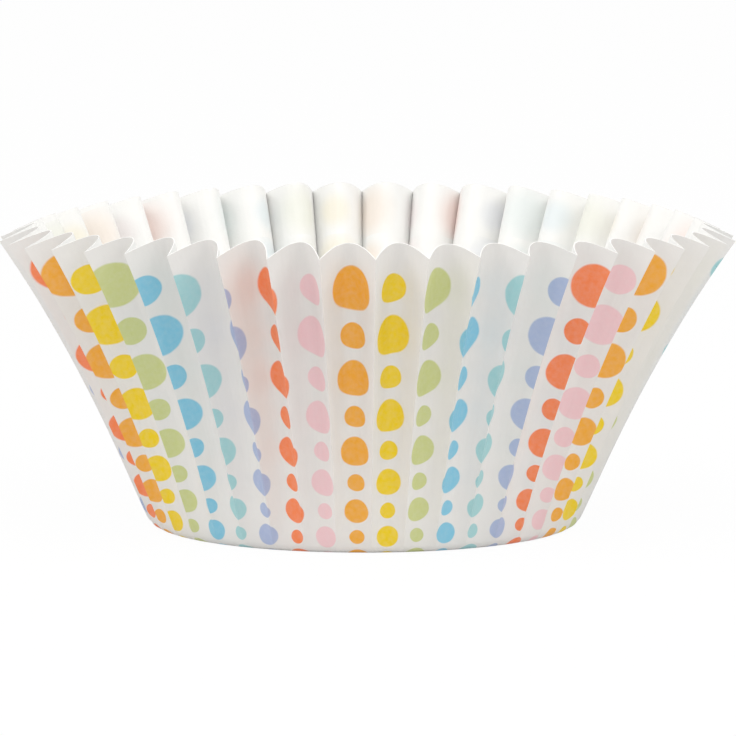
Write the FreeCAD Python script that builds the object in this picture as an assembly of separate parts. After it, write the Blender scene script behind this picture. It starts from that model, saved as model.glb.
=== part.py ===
import FreeCAD, Part
import math
import os

# One open fluted baking cup: a round sheet of greaseproof paper whose middle is pressed flat and whose
# margin stands up in pleats. The origin is the centre of the underside of the bottom, and +Z is up.
# The opened cup is a little oval: it leans out more at its sides, +X and -X, than at its front, -Y, and rear.

# The sheet, in millimetres
PAPER = 0.1
BOTTOM_RADIUS = 25.0
BEND_RADIUS = 1.6
WALL_SLANT = 36.7
PLEATS = 42

# Turn of the paper in the bend, and lean of the wall off the vertical, in degrees
BEND_TURN = 66.0
LEAN_SIDES = 25.2
LEAN_FRONT_AND_REAR = 20.8

# Share of the lean that the wall gains only towards the rim, as the mouth of a trumpet does
TRUMPET = 0.23

# Fineness: bands of facets in the bend and in the wall, and spans across one pleat
BEND_BANDS = 2
WALL_BANDS = 5
PLEAT_SPANS = 8


def lean(azimuth):
    """Lean of the wall in radians, blended round the cup. The azimuth runs anticlockwise from +X."""
    blend = math.sin(azimuth) ** 2
    return math.radians(LEAN_SIDES * (1 - blend) + LEAN_FRONT_AND_REAR * blend)


def bend_profile(turn):
    """Radius and height of the outside of the bend where the paper has turned up by an angle."""
    centre = BOTTOM_RADIUS - BEND_RADIUS
    return centre + BEND_RADIUS * math.sin(turn), BEND_RADIUS * (1 - math.cos(turn))


def bend_point(azimuth, turn, inside):
    """A point of the bend between the bottom and the wall."""
    radius, height = bend_profile(turn)
    if inside:
        radius -= PAPER * math.sin(turn)
        height += PAPER * math.cos(turn)
    return FreeCAD.Vector(radius * math.cos(azimuth), radius * math.sin(azimuth), height)


def pleat_steepness(surplus):
    """Greatest slope of a half-sine pleat that is longer than its pitch by the factor surplus, by halving."""
    samples = 24
    shallow = 0.0
    steep = 8.0
    for _ in range(30):
        slope = (shallow + steep) / 2
        waves = [math.cos(math.pi * (i + 0.5) / samples) for i in range(samples)]
        length = sum(math.hypot(1, slope * wave) for wave in waves) / samples
        if length < surplus:
            shallow = slope
        else:
            steep = slope
    return steep


def wall_point(azimuth, slant, inside):
    """A point of the wall at a distance up its paper. The paper doesn't stretch: each pleat is as deep as the
    surplus of the flat sheet asks, and each line up the wall keeps its own length, so that the rounded inner
    folds stand higher than the sharp outer creases."""
    foot_radius, foot_height = bend_profile(math.radians(BEND_TURN))
    up = slant / WALL_SLANT
    middle = foot_radius + slant * math.sin(lean(azimuth)) * (1 - TRUMPET * (1 - up))
    steepness = pleat_steepness((foot_radius + slant) / middle)
    depth = steepness * 2 * middle / PLEATS
    phase = azimuth * PLEATS / 2
    radius = middle + depth * (0.5 - abs(math.sin(phase)))
    height = foot_height + math.sqrt(slant ** 2 - (radius - foot_radius) ** 2)
    if inside:
        radius -= PAPER * math.hypot(1, steepness * math.cos(phase)) / math.cos(lean(azimuth))
    return FreeCAD.Vector(radius * math.cos(azimuth), radius * math.sin(azimuth), height)


def rings(inside):
    """Rings of points on one face of the sheet, from the edge of the flat bottom to the rim."""
    azimuths = [2 * math.pi * i / (PLEATS * PLEAT_SPANS) for i in range(PLEATS * PLEAT_SPANS)]
    turns = [math.radians(BEND_TURN) * i / BEND_BANDS for i in range(BEND_BANDS + 1)]
    slants = [WALL_SLANT * (i / WALL_BANDS) ** 2 for i in range(1, WALL_BANDS + 1)]
    bend = [[bend_point(azimuth, turn, inside) for azimuth in azimuths] for turn in turns]
    wall = [[wall_point(azimuth, slant, inside) for azimuth in azimuths] for slant in slants]
    return bend + wall


def band(lower, upper):
    """Flat facets between two rings with as many points."""
    faces = []
    for i in range(len(lower)):
        a, b, c, d = lower[i - 1], lower[i], upper[i], upper[i - 1]
        faces.append(Part.Face(Part.makePolygon([a, b, c, a])))
        faces.append(Part.Face(Part.makePolygon([a, c, d, a])))
    return faces


def bottom(ring):
    """The flat middle of one face of the sheet."""
    return Part.Face(Part.makePolygon(ring + ring[:1]))


def liner():
    """The folded sheet as one solid: its outer and inner faces, joined along the cut edge at the rim."""
    outer = rings(False)
    inner = rings(True)
    faces = [bottom(outer[0]), bottom(inner[0])] + band(outer[-1], inner[-1])
    for side in (outer, inner):
        for lower, upper in zip(side, side[1:]):
            faces += band(lower, upper)
    sheet = Part.Compound(faces)
    sheet.sewShape()
    return Part.Solid(Part.Shell(sheet.Faces))


os.makedirs("parts", exist_ok=True)
liner().exportStep("parts/paper_liner.step")
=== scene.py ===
import math

import bpy
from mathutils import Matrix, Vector


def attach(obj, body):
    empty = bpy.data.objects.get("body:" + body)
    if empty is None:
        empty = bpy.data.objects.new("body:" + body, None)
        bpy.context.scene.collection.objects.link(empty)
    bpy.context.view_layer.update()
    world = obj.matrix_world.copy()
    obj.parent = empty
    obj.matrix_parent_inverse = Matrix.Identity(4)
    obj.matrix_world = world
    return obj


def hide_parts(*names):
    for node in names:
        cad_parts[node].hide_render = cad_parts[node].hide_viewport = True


# One open fluted cupcake liner of printed greaseproof paper, standing on its flat bottom.
# Blender works in metres here, and the sizes below are written in millimetres.

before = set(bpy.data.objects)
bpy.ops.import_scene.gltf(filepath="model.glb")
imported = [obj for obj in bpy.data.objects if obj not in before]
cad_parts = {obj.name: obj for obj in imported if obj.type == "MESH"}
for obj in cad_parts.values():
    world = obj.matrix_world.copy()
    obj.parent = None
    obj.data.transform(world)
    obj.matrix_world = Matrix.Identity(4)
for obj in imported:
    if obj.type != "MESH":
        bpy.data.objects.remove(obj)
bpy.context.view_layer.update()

MM = 0.001
PLEATS = 42
PAPER = 0.1
BOTTOM_RADIUS = 25.0
BEND_RADIUS = 1.6
BEND_TURN = 66.0
WALL_SLANT = 36.7
LEAN_SIDES = 25.2
LEAN_FRONT_AND_REAR = 20.8

# The flat sheet that the liner was pressed from: it doesn't stretch, so its radius is the way from the
# middle of the bottom along the paper to the rim
FLAT_RADIUS = BOTTOM_RADIUS - BEND_RADIUS + math.radians(BEND_TURN) * BEND_RADIUS + WALL_SLANT

# The print: upright columns of dots on the flat sheet, large and small in turn. Each row is nearer the
# middle of the sheet by the same share, and the dots are smaller by that share too.
PRINT_COLUMNS = 47
PRINT_TURN = -0.02
TOP_ROW_RADIUS = 57.55
ROW_SHARE = 0.8992
LAST_ROW = 10
PRINT_ASIDE = 0.35
PRINT_BACK = 1.1
PRINT_GATHER = 0.8
PRINT_SLIP = 0.7
PRINT_END = 8.5
LARGE_DOT = 0.0465
SMALL_DOT = 0.0308

INKS = ["#EBA634", "#EACA14", "#C5CB8A", "#80C1DA", "#9FCCCE", "#A7B4D3", "#F0824F", "#E9C4C8"]
# The printed outside's paper white, painted darker as painted shade, where the wall leans out away from the lamps
SHADED_OUTSIDE_WHITE = "#E3E1DE"
# The inside's paper white, painted brighter as painted light from the lamps above and through the sheet; the cut
# edge takes it too
LIT_INSIDE_WHITE = "#F5F5F3"


def linear(shade):
    """The linear colour of an sRGB hex value, with full alpha."""
    parts = [int(shade[i:i + 2], 16) / 255 for i in (1, 3, 5)]
    return [p / 12.92 if p <= 0.04045 else ((p + 0.055) / 1.055) ** 2.4 for p in parts] + [1.0]


def add(tree, kind, inputs=(), output=0, **settings):
    """Adds a node with its settings, links or fills its inputs by name or number, and gives one output."""
    node = tree.nodes.new(kind)
    for name, value in settings.items():
        setattr(node, name, value)
    for name, value in dict(inputs).items():
        if isinstance(value, bpy.types.NodeSocket):
            tree.links.new(value, node.inputs[name])
        else:
            node.inputs[name].default_value = value
    return node.outputs[output]


def pleated_liner_tree():
    """Geometry Nodes that lay a grid out as the pleated liner. Across the grid runs the turn round the
    liner, counted in pleats, and up the grid the way along the paper from the middle to the rim."""
    tree = bpy.data.node_groups.new("pleated_liner", "GeometryNodeTree")
    for name, kind, value in (
        ("Pleats", "Int", PLEATS),
        ("Bottom Radius", "Float", BOTTOM_RADIUS * MM),
        ("Bend Radius", "Float", BEND_RADIUS * MM),
        ("Bend Turn", "Float", math.radians(BEND_TURN)),
        ("Wall Slant", "Float", WALL_SLANT * MM),
        ("Lean at Sides", "Float", math.radians(LEAN_SIDES)),
        ("Lean at Front", "Float", math.radians(LEAN_FRONT_AND_REAR)),
        ("Side Sharpness", "Float", 2.0),
        ("Lopsided Lean", "Float", math.radians(0.5)),
        ("Side Trim", "Float", 0.45 * MM),
        ("Lopsided Trim", "Float", 0.2 * MM),
        ("Trumpet", "Float", 0.23),
        ("Pleat Fullness", "Float", 1.95),
        ("Rim Fullness", "Float", 0.16),
        ("Fold Roundness", "Float", 0.22),
        ("Pleats Turn", "Float", math.radians(-0.97)),
        ("Crowding", "Float", math.radians(0.82)),
        ("Crowding Turn", "Float", math.radians(-157.8)),
        ("Squeeze", "Float", math.radians(0.48)),
        ("Squeeze Turn", "Float", math.radians(-118.7)),
        ("Crease Wander", "Float", 0.03),
        ("Depth Change", "Float", 0.06),
        ("Slack Side", "Float", 0.26),
        ("Slack Side Turn", "Float", math.radians(45)),
        ("Crease Sway", "Float", 0.15 * MM),
        ("Ripple", "Float", 0.08 * MM),
        ("Seed", "Int", 7),
    ):
        socket = tree.interface.new_socket(name, in_out="INPUT", socket_type="NodeSocket" + kind)
        socket.default_value = value
    tree.interface.new_socket("Material", in_out="INPUT", socket_type="NodeSocketMaterial")
    tree.interface.new_socket("Liner", in_out="OUTPUT", socket_type="NodeSocketGeometry")
    size = add(tree, "NodeGroupInput").node.outputs
    math_node, mix = "ShaderNodeMath", "ShaderNodeMix"

    # The grid, its width counted in pleats and its height 1
    spans, rows = 20, 44
    vertices = add(tree, math_node, {0: size["Pleats"], 1: spans, 2: 1.0}, operation="MULTIPLY_ADD")
    grid = add(tree, "GeometryNodeMeshGrid", {
        "Size X": size["Pleats"], "Size Y": 1.0, "Vertices X": vertices, "Vertices Y": rows + 1})
    across = add(tree, "ShaderNodeSeparateXYZ", {0: add(tree, "GeometryNodeInputPosition")})
    half = add(tree, math_node, {0: size["Pleats"], 1: 0.5}, operation="MULTIPLY")
    turned = add(tree, math_node, {0: across, 1: half}, operation="ADD")
    up = add(tree, math_node, {0: across.node.outputs["Y"], 1: 0.5}, operation="ADD")

    # Which pleat, and how far across it from one outer crease, 0, to the next, 1
    number = add(tree, math_node, {0: turned}, operation="FLOOR")
    along = add(tree, math_node, {0: turned, 1: number}, operation="SUBTRACT")
    after = add(tree, math_node, {0: number, 1: 1.0}, operation="ADD")
    this_crease = add(tree, math_node, {0: number, 1: size["Pleats"]}, operation="FLOORED_MODULO")
    next_crease = add(tree, math_node, {0: after, 1: size["Pleats"]}, operation="FLOORED_MODULO")
    chance = {2: -1.0, 3: 1.0, "Seed": size["Seed"]}
    other_seed = add(tree, math_node, {0: size["Seed"], 1: 101.0}, operation="ADD")
    third_seed = add(tree, math_node, {0: size["Seed"], 1: 202.0}, operation="ADD")

    # Creases wander a little round the liner, and the paper between them goes along
    random = "FunctionNodeRandomValue"
    wander_here = add(tree, random, {**chance, "ID": this_crease}, output=1)
    wander_next = add(tree, random, {**chance, "ID": next_crease}, output=1)
    crease_here = add(tree, math_node, {
        0: wander_here, 1: size["Crease Wander"], 2: number}, operation="MULTIPLY_ADD")
    crease_next = add(tree, math_node, {
        0: wander_next, 1: size["Crease Wander"], 2: after}, operation="MULTIPLY_ADD")
    one_pleat = add(tree, math_node, {0: math.tau, 1: size["Pleats"]}, operation="DIVIDE")
    double_turn = add(tree, math_node, {0: along, 1: math.tau}, operation="MULTIPLY")
    wave = add(tree, math_node, {0: double_turn}, operation="SINE")
    pull = add(tree, math_node, {0: size["Fold Roundness"], 1: -1 / math.tau}, operation="MULTIPLY")
    rounded = add(tree, math_node, {0: wave, 1: pull, 2: along}, operation="MULTIPLY_ADD")
    pleat_turn = add(tree, mix, {0: rounded, 2: crease_here, 3: crease_next})
    even_turn = add(tree, math_node, {0: pleat_turn, 1: one_pleat}, operation="MULTIPLY")
    # The opened liner's pleats crowd together on one side, and a little at two opposite sides
    from_crowd = add(tree, math_node, {0: even_turn, 1: size["Crowding Turn"]}, operation="ADD")
    crowd = add(tree, math_node, {0: from_crowd}, operation="SINE")
    from_squeeze = add(tree, math_node, {0: even_turn, 1: 2.0, 2: size["Squeeze Turn"]}, operation="MULTIPLY_ADD")
    squeeze = add(tree, math_node, {0: from_squeeze}, operation="SINE")
    all_turned = add(tree, math_node, {0: even_turn, 1: size["Pleats Turn"]}, operation="ADD")
    crowded = add(tree, math_node, {0: crowd, 1: size["Crowding"], 2: all_turned}, operation="MULTIPLY_ADD")
    azimuth = add(tree, math_node, {0: squeeze, 1: size["Squeeze"], 2: crowded}, operation="MULTIPLY_ADD")
    cosine = add(tree, math_node, {0: azimuth}, operation="COSINE")
    sine = add(tree, math_node, {0: azimuth}, operation="SINE")

    # Up the paper: the flat bottom, then the bend, then the wall
    flat = add(tree, math_node, {0: size["Bottom Radius"], 1: size["Bend Radius"]}, operation="SUBTRACT")
    bottom = add(tree, "ShaderNodeMapRange", {
        "Value": up, "From Min": 0.0, "From Max": 4 / rows, "To Min": 0.0, "To Max": flat})
    turn = add(tree, "ShaderNodeMapRange", {
        "Value": up, "From Min": 4 / rows, "From Max": 12 / rows, "To Min": 0.0, "To Max": size["Bend Turn"]})
    # The sheet was cut a little short at the sides, and on the left the more
    sideways = add(tree, math_node, {0: cosine, 1: cosine}, operation="MULTIPLY")
    left_trim = add(tree, math_node, {0: cosine, 1: size["Lopsided Trim"]}, operation="MULTIPLY")
    trim = add(tree, math_node, {0: sideways, 1: size["Side Trim"]}, operation="MULTIPLY")
    short = add(tree, math_node, {0: trim, 1: left_trim}, operation="SUBTRACT")
    cut_slant = add(tree, math_node, {0: size["Wall Slant"], 1: short}, operation="SUBTRACT")
    slant = add(tree, "ShaderNodeMapRange", {
        "Value": up, "From Min": 12 / rows, "From Max": 1.0, "To Min": 0.0, "To Max": cut_slant})

    # Lean of the wall: more at the sides, a little more on one of them, and more towards the rim
    sharper = add(tree, math_node, {0: sideways, 1: size["Side Sharpness"]}, operation="POWER")
    even_lean = add(tree, mix, {0: sharper, 2: size["Lean at Front"], 3: size["Lean at Sides"]})
    lean = add(tree, math_node, {0: cosine, 1: size["Lopsided Lean"], 2: even_lean}, operation="MULTIPLY_ADD")
    rise = add(tree, math_node, {0: slant, 1: size["Wall Slant"]}, operation="DIVIDE")
    foot_share = add(tree, math_node, {0: 1.0, 1: size["Trumpet"]}, operation="SUBTRACT")
    share = add(tree, math_node, {0: rise, 1: size["Trumpet"], 2: foot_share}, operation="MULTIPLY_ADD")
    lean_sine = add(tree, math_node, {0: lean}, operation="SINE")
    outward = add(tree, math_node, {0: lean_sine, 1: share}, operation="MULTIPLY")
    outward_squared = add(tree, math_node, {0: outward, 1: outward}, operation="MULTIPLY")
    upward_squared = add(tree, math_node, {0: 1.0, 1: outward_squared}, operation="SUBTRACT")
    upward = add(tree, math_node, {0: upward_squared}, operation="SQRT")

    # Radius and height of the paper with no pleats, and the way along the paper from the middle
    turn_sine = add(tree, math_node, {0: turn}, operation="SINE")
    turn_cosine = add(tree, math_node, {0: turn}, operation="COSINE")
    bend_out = add(tree, math_node, {
        0: turn_sine, 1: size["Bend Radius"], 2: bottom}, operation="MULTIPLY_ADD")
    middle = add(tree, math_node, {0: slant, 1: outward, 2: bend_out}, operation="MULTIPLY_ADD")
    bend_rise = add(tree, math_node, {0: 1.0, 1: turn_cosine}, operation="SUBTRACT")
    bend_height = add(tree, math_node, {0: bend_rise, 1: size["Bend Radius"]}, operation="MULTIPLY")
    height = add(tree, math_node, {0: slant, 1: upward, 2: bend_height}, operation="MULTIPLY_ADD")
    bend_way = add(tree, math_node, {0: turn, 1: size["Bend Radius"], 2: bottom}, operation="MULTIPLY_ADD")
    way = add(tree, math_node, {0: bend_way, 1: slant}, operation="ADD")

    # Depth of a pleat: the paper has to go somewhere, so it follows from the surplus of the flat sheet
    surplus = add(tree, math_node, {0: way, 1: middle}, operation="DIVIDE")
    spare = add(tree, math_node, {0: surplus, 1: 1.0}, operation="SUBTRACT")
    spare_squared = add(tree, math_node, {0: surplus, 1: spare}, operation="MULTIPLY")
    spare_root = add(tree, math_node, {0: spare_squared}, operation="SQRT")
    steepness = add(tree, math_node, {0: spare_root, 1: size["Pleat Fullness"]}, operation="MULTIPLY")
    half_pitch = add(tree, math_node, {0: middle, 1: half}, operation="DIVIDE")
    full_depth = add(tree, math_node, {0: steepness, 1: half_pitch}, operation="MULTIPLY")
    # The pleats to the right of the front stand shallower near the rim
    from_slack = add(tree, math_node, {0: azimuth, 1: size["Slack Side Turn"]}, operation="ADD")
    toward_slack = add(tree, math_node, {0: from_slack}, operation="COSINE")
    slack = add(tree, "ShaderNodeMapRange", {
        "Value": toward_slack, "From Min": 0.6, "From Max": 1.0, "To Min": 0.0, "To Max": size["Slack Side"]},
        interpolation_type="SMOOTHSTEP")
    slack_up = add(tree, math_node, {0: slack, 1: rise}, operation="MULTIPLY")
    pressed = add(tree, math_node, {0: 1.0, 1: slack_up}, operation="SUBTRACT")
    # All of them open out a little at the very rim
    near_rim = add(tree, math_node, {0: rise, 1: 3.0}, operation="POWER")
    opened = add(tree, math_node, {0: near_rim, 1: size["Rim Fullness"], 2: pressed}, operation="MULTIPLY_ADD")
    depth = add(tree, math_node, {0: full_depth, 1: opened}, operation="MULTIPLY")

    # A pleat is a round arch that stands inward between two sharp outer creases
    across_turn = add(tree, math_node, {0: along, 1: math.pi}, operation="MULTIPLY")
    arch = add(tree, math_node, {0: across_turn}, operation="SINE")
    deeper = add(tree, random, {**chance, "ID": this_crease, "Seed": other_seed}, output=1)
    own_depth = add(tree, math_node, {0: deeper, 1: size["Depth Change"], 2: 1.0}, operation="MULTIPLY_ADD")
    own_arch = add(tree, math_node, {0: arch, 1: own_depth}, operation="MULTIPLY")
    stand = add(tree, math_node, {0: 0.5, 1: own_arch}, operation="SUBTRACT")
    sway_here = add(tree, random, {**chance, "ID": this_crease, "Seed": third_seed}, output=1)
    sway_next = add(tree, random, {**chance, "ID": next_crease, "Seed": third_seed}, output=1)
    sway = add(tree, mix, {0: along, 2: sway_here, 3: sway_next})
    sway_up = add(tree, math_node, {0: rise, 1: size["Crease Sway"]}, operation="MULTIPLY")
    sway_out = add(tree, math_node, {0: sway, 1: sway_up}, operation="MULTIPLY")
    stand_out = add(tree, math_node, {0: stand, 1: depth, 2: sway_out}, operation="MULTIPLY_ADD")
    radius = add(tree, math_node, {0: middle, 1: stand_out}, operation="ADD")

    # Each line up the paper keeps its length, so what stands further out stands lower
    fall = add(tree, math_node, {0: outward, 1: upward}, operation="DIVIDE")
    fades_in = add(tree, "ShaderNodeMapRange", {
        "Value": rise, "From Min": 0.0, "From Max": 0.1, "To Min": 0.0, "To Max": fall})
    drop = add(tree, math_node, {0: stand_out, 1: fades_in}, operation="MULTIPLY")
    stood = add(tree, math_node, {0: height, 1: drop}, operation="SUBTRACT")
    place = add(tree, "ShaderNodeCombineXYZ", {
        "X": add(tree, math_node, {0: radius, 1: cosine}, operation="MULTIPLY"),
        "Y": add(tree, math_node, {0: radius, 1: sine}, operation="MULTIPLY"),
        "Z": stood})

    # Where that point lies on the flat sheet. The arch is steepest at its creases, so more paper lies there.
    crease_pace = add(tree, math_node, {0: 1.0, 1: size["Fold Roundness"]}, operation="SUBTRACT")
    fold_pace = add(tree, math_node, {0: 1.0, 1: size["Fold Roundness"]}, operation="ADD")
    pace_squared = add(tree, math_node, {0: crease_pace, 1: crease_pace}, operation="MULTIPLY")
    steep_squared = add(tree, math_node, {0: steepness, 1: steepness, 2: pace_squared}, operation="MULTIPLY_ADD")
    steepest = add(tree, math_node, {0: steep_squared}, operation="SQRT")
    steeper = add(tree, math_node, {0: steepest, 1: fold_pace}, operation="SUBTRACT")
    packed = add(tree, math_node, {0: steeper, 1: surplus}, operation="DIVIDE")
    swell = add(tree, math_node, {0: packed, 1: 1 / (4 * math.pi)}, operation="MULTIPLY")
    sheet_along = add(tree, math_node, {0: swell, 1: wave, 2: along}, operation="MULTIPLY_ADD")
    sheet_turn = add(tree, math_node, {0: sheet_along, 1: number}, operation="ADD")
    sheet_angle = add(tree, math_node, {0: sheet_turn, 1: one_pleat}, operation="MULTIPLY")
    sheet_radius = add(tree, math_node, {0: way, 1: 0.5 / (FLAT_RADIUS * MM)}, operation="MULTIPLY")
    sheet_cosine = add(tree, math_node, {0: sheet_angle}, operation="COSINE")
    sheet_sine = add(tree, math_node, {0: sheet_angle}, operation="SINE")
    sheet_place = add(tree, "ShaderNodeCombineXYZ", {
        "X": add(tree, math_node, {0: sheet_cosine, 1: sheet_radius, 2: 0.5}, operation="MULTIPLY_ADD"),
        "Y": add(tree, math_node, {0: sheet_sine, 1: sheet_radius, 2: 0.5}, operation="MULTIPLY_ADD")})

    mapped = add(tree, "GeometryNodeStoreNamedAttribute", {
        "Geometry": grid, "Name": "sheet", "Value": sheet_place}, data_type="FLOAT2", domain="CORNER")
    laid = add(tree, "GeometryNodeSetPosition", {"Geometry": mapped, "Position": place})

    # Hand-pressed paper is never quite even: a slow ripple along the wall, none in the bottom
    noise = add(tree, "ShaderNodeTexNoise", {"Scale": 90.0, "Detail": 1.0}, output=1, noise_dimensions="3D")
    centred = add(tree, "ShaderNodeVectorMath", {0: noise, 1: (0.5, 0.5, 0.5)}, operation="SUBTRACT")
    lift = add(tree, "ShaderNodeSeparateXYZ", {0: add(tree, "GeometryNodeInputPosition")}, output=2)
    raised = add(tree, "ShaderNodeMapRange", {
        "Value": lift, "From Min": 2 * MM, "From Max": 20 * MM, "To Min": 0.0, "To Max": size["Ripple"]})
    ripple = add(tree, "ShaderNodeVectorMath", {0: centred, "Scale": raised}, operation="SCALE")
    rippled = add(tree, "GeometryNodeSetPosition", {"Geometry": laid, "Offset": ripple})
    closed = add(tree, "GeometryNodeMergeByDistance", {"Geometry": rippled, "Distance": 0.001 * MM})
    smooth = add(tree, "GeometryNodeSetShadeSmooth", {"Geometry": closed})
    real = add(tree, "GeometryNodeRealizeInstances", {"Geometry": smooth})
    finished = add(tree, "GeometryNodeSetMaterial", {"Geometry": real, "Material": size["Material"]})
    out = tree.nodes.new("NodeGroupOutput")
    tree.links.new(finished, out.inputs["Liner"])
    return tree


def printed_dots(tree, edge):
    """The dots of the print, worked out on the flat sheet. Gives how much ink covers the paper, and the
    ink's colour. edge is the share of a dot's radius over which its outline fades."""
    math_node, vector = "ShaderNodeMath", "ShaderNodeVectorMath"
    flat = add(tree, "ShaderNodeUVMap", uv_map="sheet")
    from_corner = add(tree, vector, {0: flat, "Scale": 2 * FLAT_RADIUS}, operation="SCALE")
    middle = (FLAT_RADIUS + PRINT_ASIDE, FLAT_RADIUS + PRINT_BACK, 0.0)
    sheet = add(tree, vector, {0: from_corner, 1: middle}, operation="SUBTRACT")
    # Outlines wander by 0.15 mm over some 3 mm, as a flexible printing plate leaves them
    noise = add(tree, "ShaderNodeTexNoise", {"Vector": sheet, "Scale": 0.3, "Detail": 2.0}, output=1)
    wander = add(tree, vector, {0: noise, 1: (0.5, 0.5, 0.5)}, operation="SUBTRACT")
    moved = add(tree, vector, {0: wander, 1: (0.3, 0.3, 0.0), 2: sheet}, operation="MULTIPLY_ADD")
    x = add(tree, "ShaderNodeSeparateXYZ", {0: moved})
    distance = add(tree, vector, {0: moved}, output=1, operation="LENGTH")
    angle = add(tree, math_node, {0: x.node.outputs["Y"], 1: x}, operation="ARCTAN2")
    from_front = add(tree, math_node, {0: angle, 1: math.radians(90 - PRINT_TURN)}, operation="ADD")
    # As it was pressed, the paper gathered a little at each side of the front and slipped to one side
    twice = add(tree, math_node, {0: from_front, 1: 2.0}, operation="MULTIPLY")
    gather = add(tree, math_node, {0: twice}, operation="SINE")
    gathered = add(tree, math_node, {0: gather, 1: math.radians(PRINT_GATHER), 2: from_front},
                   operation="MULTIPLY_ADD")
    slip = add(tree, math_node, {0: from_front}, operation="COSINE")
    slip_back = add(tree, math_node, {0: slip, 1: -math.radians(PRINT_SLIP), 2: math.radians(PRINT_SLIP)},
                    operation="MULTIPLY_ADD")
    slipped = add(tree, math_node, {0: gathered, 1: slip_back}, operation="ADD")
    # The two ends of the print meet left of the front, where orange stands straight beside red
    one_column = math.tau / PRINT_COLUMNS
    left_end = -PRINT_END * one_column
    wrapped = add(tree, math_node, {0: slipped, 1: left_end + math.tau, 2: left_end}, operation="WRAP")
    column = add(tree, math_node, {0: wrapped, 1: PRINT_COLUMNS / math.tau}, operation="MULTIPLY")
    nearest = add(tree, math_node, {0: column}, operation="ROUND")
    aside = add(tree, math_node, {0: column, 1: nearest}, operation="SUBTRACT")
    ring = add(tree, math_node, {0: distance, 1: TOP_ROW_RADIUS}, operation="DIVIDE")
    row = add(tree, math_node, {0: ring, 1: ROW_SHARE}, operation="LOGARITHM")
    nearest_row = add(tree, math_node, {0: row}, operation="ROUND")
    below = add(tree, math_node, {0: row, 1: nearest_row}, operation="SUBTRACT")
    # Distance from the middle of the nearest dot, as a share of its distance from the sheet's middle
    offset = add(tree, "ShaderNodeCombineXYZ", {
        "X": add(tree, math_node, {0: aside, 1: math.tau / PRINT_COLUMNS}, operation="MULTIPLY"),
        "Y": add(tree, math_node, {0: below, 1: math.log(ROW_SHARE)}, operation="MULTIPLY")})
    away = add(tree, vector, {0: offset}, output=1, operation="LENGTH")
    # Large where row and column are both even or both odd
    both = add(tree, math_node, {0: nearest, 1: nearest_row}, operation="ADD")
    odd = add(tree, math_node, {0: both, 1: 1.0}, operation="PINGPONG")
    dot = add(tree, "ShaderNodeMapRange", {"Value": odd, "To Min": LARGE_DOT, "To Max": SMALL_DOT})
    out = add(tree, math_node, {0: away, 1: dot}, operation="DIVIDE")
    ink = add(tree, "ShaderNodeMapRange", {
        "Value": out, "From Min": 1 - edge, "From Max": 1 + edge, "To Min": 1.0, "To Max": 0.0},
        interpolation_type="SMOOTHSTEP")
    under_top = add(tree, math_node, {0: nearest_row, 1: -0.5}, operation="GREATER_THAN")
    over_last = add(tree, math_node, {0: nearest_row, 1: LAST_ROW + 0.5}, operation="LESS_THAN")
    rows = add(tree, math_node, {0: under_top, 1: over_last}, operation="MULTIPLY")
    cover = add(tree, math_node, {0: ink, 1: rows}, operation="MULTIPLY")
    shade = add(tree, math_node, {0: nearest, 1: len(INKS)}, operation="FLOORED_MODULO")
    step = add(tree, math_node, {0: shade, 1: 0.5}, operation="ADD")
    place = add(tree, math_node, {0: step, 1: len(INKS)}, operation="DIVIDE")
    colour = add(tree, "ShaderNodeValToRGB", {0: place})
    ramp = colour.node.color_ramp
    ramp.interpolation = "CONSTANT"
    ramp.elements[0].color = linear(INKS[0])
    ramp.elements[1].position = 1 / len(INKS)
    ramp.elements[1].color = linear(INKS[1])
    for i in range(2, len(INKS)):
        ramp.elements.new(i / len(INKS)).color = linear(INKS[i])
    return cover, colour


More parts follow.
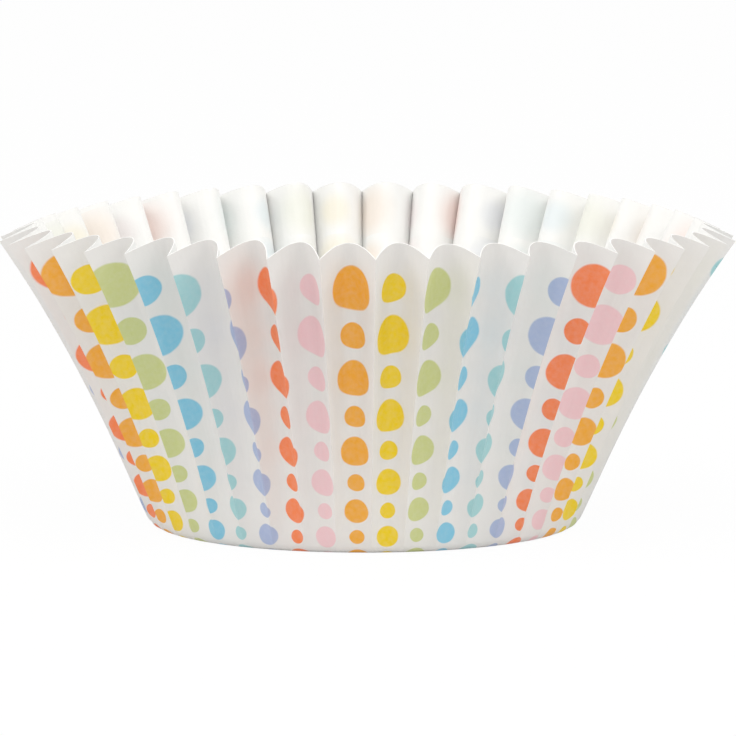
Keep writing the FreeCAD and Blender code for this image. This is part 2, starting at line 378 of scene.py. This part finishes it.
def paper_tree(name, shade):
    """A new material's tree with the paper's cloudy formation and its fibres: the tree, the paper's colour
    and the surface's bump."""
    material = bpy.data.materials.new(name)
    material.use_nodes = True
    tree = material.node_tree
    tree.nodes.clear()
    place = add(tree, "ShaderNodeTexCoord", output=3)
    # Formation: the pulp lies thicker and thinner in clouds of 2 to 6 mm
    clouds = add(tree, "ShaderNodeTexNoise", {"Vector": place, "Scale": 300.0, "Detail": 3.0, "Roughness": 0.6})
    white = add(tree, "ShaderNodeMapRange", {
        "Value": clouds, "From Min": 0.3, "From Max": 0.7, "To Min": 0.975, "To Max": 1.0})
    base = add(tree, "ShaderNodeMix", {0: 1.0, 6: linear(shade), 7: white}, output=2,
               data_type="RGBA", blend_type="MULTIPLY")
    # Fibres are 0.03 mm thick; drawn 0.25 mm wide, so that they show
    fibres = add(tree, "ShaderNodeTexNoise", {"Vector": place, "Scale": 4000.0, "Detail": 2.0})
    cockle = add(tree, "ShaderNodeMath", {0: clouds, 1: 4.0, 2: fibres}, operation="MULTIPLY_ADD")
    # Lines that the press rubbed up the wall, about 1 mm apart and 20 mm long, on the flat sheet
    flat = add(tree, "ShaderNodeUVMap", uv_map="sheet")
    centred = add(tree, "ShaderNodeVectorMath", {0: flat, 1: (0.5, 0.5, 0.0)}, operation="SUBTRACT")
    across = add(tree, "ShaderNodeVectorMath", {0: centred}, operation="NORMALIZE")
    way = add(tree, "ShaderNodeVectorMath", {0: centred}, output=1, operation="LENGTH")
    round_it = add(tree, "ShaderNodeVectorMath", {0: across, "Scale": FLAT_RADIUS / 1.0}, operation="SCALE")
    up_it = add(tree, "ShaderNodeMath", {0: way, 1: 2 * FLAT_RADIUS / 20.0}, operation="MULTIPLY")
    line_place = add(tree, "ShaderNodeVectorMath", {
        0: round_it, 1: add(tree, "ShaderNodeCombineXYZ", {"Z": up_it})}, operation="ADD")
    lines = add(tree, "ShaderNodeTexNoise", {"Vector": line_place, "Scale": 1.0, "Detail": 1.0})
    on_wall = add(tree, "ShaderNodeMapRange", {
        "Value": way, "From Min": 0.21, "From Max": 0.3, "To Min": 0.0, "To Max": 6.0})
    cockle = add(tree, "ShaderNodeMath", {0: lines, 1: on_wall, 2: cockle}, operation="MULTIPLY_ADD")
    bump = add(tree, "ShaderNodeBump", {"Strength": 0.12, "Distance": 0.00012, "Height": cockle})
    return tree, material, base, bump


# Greaseproof baking paper, white, beaten hard and calendered, then printed on one side with water-based
# inks. It is matt with a faint satin, lets some light through, and the ink lies flat in it. Its white is
# painted darker here, as painted shade.
def printed_paper():
    tree, material, base, bump = paper_tree("greaseproof_paper_printed", SHADED_OUTSIDE_WHITE)
    cover, colour = printed_dots(tree, 0.05)
    # Ink lies a little unevenly, in specks of about 0.5 mm
    specks = add(tree, "ShaderNodeTexNoise", {
        "Vector": add(tree, "ShaderNodeTexCoord", output=3), "Scale": 1800.0, "Detail": 2.0})
    laid = add(tree, "ShaderNodeMapRange", {
        "Value": specks, "From Min": 0.3, "From Max": 0.7, "To Min": 0.9, "To Max": 1.0})
    inked = add(tree, "ShaderNodeMath", {0: cover, 1: laid}, operation="MULTIPLY")
    surface = add(tree, "ShaderNodeMix", {0: inked, 6: base, 7: colour}, output=2, data_type="RGBA")
    satin = add(tree, "ShaderNodeMapRange", {"Value": cover, "To Min": 0.62, "To Max": 0.55})
    shader = add(tree, "ShaderNodeBsdfPrincipled", {
        "Base Color": surface, "Roughness": satin, "Normal": bump, "IOR": 1.45,
        "Specular IOR Level": 0.35})
    out = tree.nodes.new("ShaderNodeOutputMaterial")
    tree.links.new(shader, out.inputs["Surface"])
    return material


# The same paper from inside the liner: unprinted, its white painted brighter as painted light, with the ink of
# the other side showing faintly and blurred through the sheet
def inner_paper():
    tree, material, base, bump = paper_tree("greaseproof_paper_inside", LIT_INSIDE_WHITE)
    cover, colour = printed_dots(tree, 0.6)
    through = add(tree, "ShaderNodeMath", {0: cover, 1: 0.16}, operation="MULTIPLY")
    surface = add(tree, "ShaderNodeMix", {0: through, 6: base, 7: colour}, output=2, data_type="RGBA")
    shader = add(tree, "ShaderNodeBsdfPrincipled", {
        "Base Color": surface, "Roughness": 0.62, "Normal": bump, "IOR": 1.45,
        "Specular IOR Level": 0.35})
    out = tree.nodes.new("ShaderNodeOutputMaterial")
    tree.links.new(shader, out.inputs["Surface"])
    return material


# The die-cut edge of the sheet: open fibres, so it is rougher. It takes the inside's white, painted brighter as
# painted light, so it is whiter than the outside face
def cut_edge():
    tree, material, base, bump = paper_tree("greaseproof_paper_cut_edge", LIT_INSIDE_WHITE)
    shader = add(tree, "ShaderNodeBsdfPrincipled", {
        "Base Color": base, "Roughness": 0.85, "Normal": bump, "IOR": 1.45, "Specular IOR Level": 0.2})
    out = tree.nodes.new("ShaderNodeOutputMaterial")
    tree.links.new(shader, out.inputs["Surface"])
    return material


def settled(piece, name):
    """The piece with its modifiers worked out, as a plain mesh object at the origin."""
    bpy.context.view_layer.update()
    shape = piece.evaluated_get(bpy.context.evaluated_depsgraph_get())
    mesh = bpy.data.meshes.new_from_object(shape)
    bpy.data.objects.remove(piece)
    mesh.name = name
    plain = bpy.data.objects.new(name, mesh)
    bpy.context.scene.collection.objects.link(plain)
    return plain


def make_liner():
    """The pleated sheet with its thickness inward, printed outside and plain inside."""
    seed_mesh = bpy.data.objects.new("pleats_seed", bpy.data.meshes.new("pleats_seed"))
    bpy.context.scene.collection.objects.link(seed_mesh)
    tree = pleated_liner_tree()
    pleats = seed_mesh.modifiers.new("pleats", "NODES")
    pleats.node_group = tree
    outside = printed_paper()
    for socket in tree.interface.items_tree:
        if socket.name == "Material":
            pleats[socket.identifier] = outside
    sheet = settled(seed_mesh, "sheet_face")
    sheet.data.materials.append(inner_paper())
    sheet.data.materials.append(cut_edge())
    wall = sheet.modifiers.new("paper_thickness", "SOLIDIFY")
    wall.thickness = PAPER * MM
    wall.offset = -1.0
    wall.material_offset = 1
    wall.material_offset_rim = 2
    liner = settled(sheet, "cupcake_liner")
    liner.data.set_sharp_from_angle(angle=math.radians(35))
    return liner


liner = make_liner()
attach(liner, "root")
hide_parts("paper_liner")


def looked_at(tree):
    """1 for rays that come from the camera, straight or by way of a mirror or glass, and 0 for lighting."""
    ray = add(tree, "ShaderNodeLightPath").node.outputs
    mirrored = add(tree, "ShaderNodeMath", {0: ray["Is Camera Ray"], 1: ray["Is Glossy Ray"]}, operation="MAXIMUM")
    return add(tree, "ShaderNodeMath", {0: mirrored, 1: ray["Is Transmission Ray"]}, operation="MAXIMUM")


def make_floor():
    """A wide white floor. The camera sees it white, and the liner's soft shadow stays on it."""
    mesh = bpy.data.meshes.new("floor")
    # A hair below the paper, so that the two don't share a plane
    reach, level = 6.0, -0.03 * MM
    mesh.from_pydata([(-reach, -reach, level), (reach, -reach, level), (reach, reach, level),
                      (-reach, reach, level)], [], [(0, 1, 2, 3)])
    floor = bpy.data.objects.new("floor", mesh)
    bpy.context.scene.collection.objects.link(floor)
    material = bpy.data.materials.new("white_studio_floor")
    material.use_nodes = True
    tree = material.node_tree
    tree.nodes.clear()
    lit = add(tree, "ShaderNodeBsdfDiffuse", {"Color": (0.9, 0.9, 0.9, 1.0)})
    white = add(tree, "ShaderNodeEmission", {"Color": (1.0, 1.0, 1.0, 1.0), "Strength": 1.0})
    share = add(tree, "ShaderNodeMath", {0: looked_at(tree), 1: 0.96}, operation="MULTIPLY")
    shown = add(tree, "ShaderNodeMixShader", {0: share, 1: lit, 2: white})
    out = tree.nodes.new("ShaderNodeOutputMaterial")
    tree.links.new(shown, out.inputs["Surface"])
    mesh.materials.append(material)
    return floor


def make_world():
    """White where the camera looks, and soft even light from all round."""
    world = bpy.data.worlds.new("white_room")
    world.use_nodes = True
    bpy.context.scene.world = world
    tree = world.node_tree
    tree.nodes.clear()
    strength = add(tree, "ShaderNodeMapRange", {"Value": looked_at(tree), "To Min": 0.73, "To Max": 1.0})
    light = add(tree, "ShaderNodeBackground", {"Color": (1.0, 1.0, 1.0, 1.0), "Strength": strength})
    out = tree.nodes.new("ShaderNodeOutputWorld")
    tree.links.new(light, out.inputs["Surface"])


def softbox(name, place, aim, side, power, warmth):
    """A square soft lamp at a place in metres, turned to what it lights."""
    lamp = bpy.data.lights.new(name, "AREA")
    lamp.shape = "SQUARE"
    lamp.size = side
    lamp.energy = power
    lamp.color = linear(warmth)[:3]
    holder = bpy.data.objects.new(name, lamp)
    bpy.context.scene.collection.objects.link(holder)
    holder.location = place
    holder.rotation_euler = (Vector(aim) - Vector(place)).to_track_quat("-Z", "Y").to_euler()


def make_camera():
    """The photograph's view: from 7 degrees above, 744 mm from a point 17 mm over the liner's bottom."""
    target = Vector((0, 0, 17 * MM))
    to_the_side, above, distance = math.radians(2.75), math.radians(7.0), 744 * MM
    back = Vector((math.sin(to_the_side) * math.cos(above), -math.cos(to_the_side) * math.cos(above),
                   math.sin(above)))
    camera = bpy.data.cameras.new("photo_camera")
    camera.sensor_width = 36.0
    camera.lens = 316.6
    holder = bpy.data.objects.new("photo_camera", camera)
    bpy.context.scene.collection.objects.link(holder)
    turned = (-back).to_track_quat("-Z", "Y")
    aim = target + turned @ Vector((0.44 * MM, 0.90 * MM, 0))
    holder.location = target + back * distance
    holder.rotation_mode = "QUATERNION"
    holder.rotation_quaternion = (aim - holder.location).to_track_quat("-Z", "Y")
    bpy.context.scene.camera = holder


make_floor()
make_world()
softbox("overhead_softbox", (0.0, -0.35, 0.8), (0, 0, 0.02), 0.7, 1.9, "#FFFDFB")
softbox("left_softbox", (-0.55, -0.3, 0.6), (0, 0, 0.02), 0.45, 1.6, "#FFFDFB")
softbox("right_softbox", (0.55, -0.3, 0.6), (0, 0, 0.02), 0.45, 1.6, "#FFFDFB")
make_camera()
bpy.context.scene.view_settings.view_transform = "Standard"
